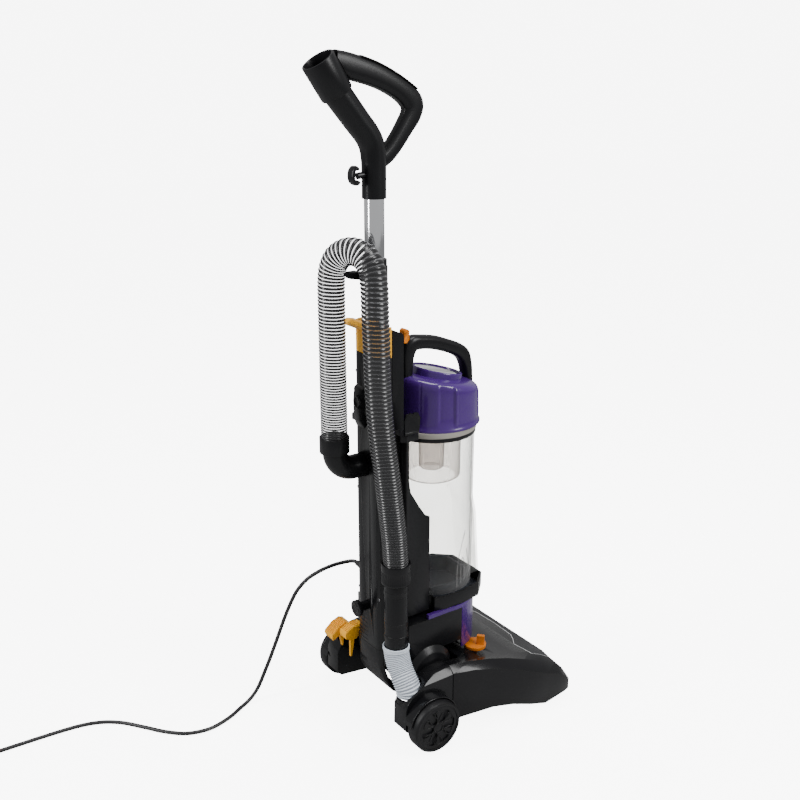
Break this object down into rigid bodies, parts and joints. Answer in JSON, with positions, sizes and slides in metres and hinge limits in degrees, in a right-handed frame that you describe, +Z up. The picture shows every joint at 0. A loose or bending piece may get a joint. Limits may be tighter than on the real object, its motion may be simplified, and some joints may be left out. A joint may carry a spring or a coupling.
{
  "type": "upright vacuum cleaner",
  "caption": "Upright vacuum cleaner with a clear lift-out bin under a purple cap, a ribbed hose on its back, a chrome wand with a loop handle and a glossy black floor head.",
  "frame": {"origin": "centre of the bounding box on the floor, measured without the hose and cord", "axes": "+Z up, -Y towards the nozzle, -X towards the suction hose side"},
  "size_m": [0.5365, 1.0659, 1.1022],
  "materials": {
    "black_shell": "satin",
    "hood_gloss": "gloss",
    "dimpled_black": "textured",
    "trim_silver": "polished",
    "plain_steel": "satin",
    "chrome": "polished",
    "tyre_black": "matte",
    "grey_plastic": "matte",
    "yellow_plastic": "satin",
    "amber_plastic": "satin",
    "purple_plastic": "gloss",
    "clear_plastic": "clear",
    "smoke_hose": "ribbed",
    "white_hose": "ribbed",
    "soft_grip": "matte",
    "belt_rubber": "matte",
    "bristle": "matte",
    "filter_foam": "matte",
    "seal_beige": "matte",
    "smoke_grey": "clear",
    "flap_blue": "satin",
    "motor_metal": "cast",
    "cord_black": "satin"
  },
  "bodies": {
    "head": {"head_base": "black_shell", "head_cover": "hood_gloss", "front_strip": "dimpled_black", "trim_line": "trim_silver", "wheel_axles": "plain_steel", "pivot_collars": "grey_plastic", "brush_bearings": "grey_plastic", "drive_belt": "belt_rubber", "power_cord": "cord_black", "cord_coil": "cord_black", "cord_plug": "cord_black"},
    "left_wheel": {"wheel_left": "black_shell", "tyre_left": "tyre_black"},
    "right_wheel": {"wheel_right": "black_shell", "tyre_right": "tyre_black"},
    "carriage": {"roller_carriage": "grey_plastic"},
    "left_roller": {"roller_left": "black_shell"},
    "right_roller": {"roller_right": "black_shell"},
    "brush": {"brush_roll": "grey_plastic", "brush_bristles": "bristle"},
    "dial": {"height_dial": "amber_plastic"},
    "recline_button": {"recline_pedal": "yellow_plastic"},
    "upright": {"motor_housing": "black_shell", "motor_stator": "motor_metal", "base_block": "black_shell", "base_trim": "purple_plastic", "exhaust_filter": "filter_foam", "spine_front": "black_shell", "spine_back": "black_shell", "lower_back": "black_shell", "inlet_duct": "grey_plastic", "lower_pipe": "black_shell", "pipe_clips": "black_shell", "spine_screws": "plain_steel", "duct_hose": "white_hose", "hose_cuff": "black_shell", "suction_hose": "smoke_hose", "hose_end_cuff": "black_shell", "elbow": "black_shell", "cord_post": "black_shell", "strain_relief": "cord_black", "tube_clip": "black_shell"},
    "rotor": {"motor_rotor": "plain_steel"},
    "hook": {"cord_hook": "black_shell"},
    "lever": {"wand_lever": "yellow_plastic"},
    "power_button": {"power_pedal": "yellow_plastic"},
    "wand": {"chrome_tube": "chrome", "handle_body": "black_shell", "grip_pad": "soft_grip"},
    "bin": {"bin_jar": "clear_plastic", "bin_cap": "purple_plastic", "cap_filter": "filter_foam", "carry_handle": "black_shell", "rim_ring": "black_shell", "seal_band": "seal_beige", "cyclone_shroud": "smoke_grey", "bin_ring": "black_shell"},
    "flap": {"bin_flap": "flap_blue"},
    "latch": {"lid_latch": "black_shell"},
    "release": {"bin_button": "amber_plastic"}
  },
  "joints": [
    {"name": "recline", "type": "hinge", "parent": "head", "child": "upright", "pos_m": [0, 0.042, 0.1], "axis": [-1, 0, 0], "range_deg": [0, 70], "deforming": ["duct_hose"]},
    {"name": "wheel_left_turn", "type": "hinge", "parent": "head", "child": "left_wheel", "pos_m": [0.14, 0.08, 0.0453], "axis": [1, 0, 0], "continuous": true},
    {"name": "wheel_right_turn", "type": "hinge", "parent": "head", "child": "right_wheel", "pos_m": [-0.14, 0.08, 0.0453], "axis": [1, 0, 0], "continuous": true},
    {"name": "roller_lift", "type": "slide", "parent": "head", "child": "carriage", "axis": [0, 0, 1], "range_m": [0, 0.006]},
    {"name": "roller_left_turn", "type": "hinge", "parent": "carriage", "child": "left_roller", "pos_m": [0.07, -0.1, 0.009], "axis": [1, 0, 0], "continuous": true},
    {"name": "roller_right_turn", "type": "hinge", "parent": "carriage", "child": "right_roller", "pos_m": [-0.07, -0.1, 0.009], "axis": [1, 0, 0], "continuous": true},
    {"name": "brush_turn", "type": "hinge", "parent": "head", "child": "brush", "pos_m": [0, -0.165, 0.03], "axis": [1, 0, 0], "continuous": true},
    {"name": "height_turn", "type": "hinge", "parent": "head", "child": "dial", "pos_m": [-0.072, -0.062, 0.11], "axis": [0, 0, 1], "range_deg": [0, 108]},
    {"name": "recline_press", "type": "hinge", "parent": "head", "child": "recline_button", "pos_m": [0.0985, 0.108, 0.129], "axis": [-1, 0, 0], "range_deg": [0, 16], "stiffness_Nm_per_rad": 0.8},
    {"name": "motor_turn", "type": "hinge", "parent": "upright", "child": "rotor", "pos_m": [0, 0.042, 0.1], "axis": [1, 0, 0], "continuous": true},
    {"name": "hook_turn", "type": "hinge", "parent": "upright", "child": "hook", "pos_m": [0, 0.12, 0.578], "axis": [0, -1, 0], "range_deg": [0, 180]},
    {"name": "lever_pull", "type": "hinge", "parent": "upright", "child": "lever", "pos_m": [0, 0.11, 0.6585], "axis": [-1, 0, 0], "range_deg": [0, 5], "stiffness_Nm_per_rad": 1.5},
    {"name": "power_press", "type": "hinge", "parent": "upright", "child": "power_button", "pos_m": [0.056, 0.095, 0.14], "axis": [-1, 0, 0], "range_deg": [0, 12], "stiffness_Nm_per_rad": 0.5},
    {"name": "wand_slide", "type": "slide", "parent": "upright", "child": "wand", "axis": [0, 0, 1], "range_m": [0, 0.15]},
    {"name": "bin_lift", "type": "slide", "parent": "upright", "child": "bin", "axis": [0, -0.5501, 0.8351], "range_m": [0, 0.17]},
    {"name": "flap_open", "type": "hinge", "parent": "bin", "child": "flap", "pos_m": [0, 0.054, 0.208], "axis": [1, 0, 0], "range_deg": [0, 50]},
    {"name": "latch_swing", "type": "hinge", "parent": "upright", "child": "latch", "pos_m": [-0.074, 0.08, 0.538], "axis": [0, -1, 0], "range_deg": [0, 30]},
    {"name": "release_press", "type": "slide", "parent": "bin", "child": "release", "axis": [0, 0, -1], "range_m": [0, 0.003], "stiffness_N_per_m": 300}
  ],
  "couplings": [
    {"joint": "height_turn", "follows": "roller_lift", "rad_per_m": 314.15},
    {"joint": "brush_turn", "follows": "motor_turn", "ratio": 0.667},
    {"joint": "flap_open", "follows": "bin_lift", "rad_per_m": 5.13}
  ]
}
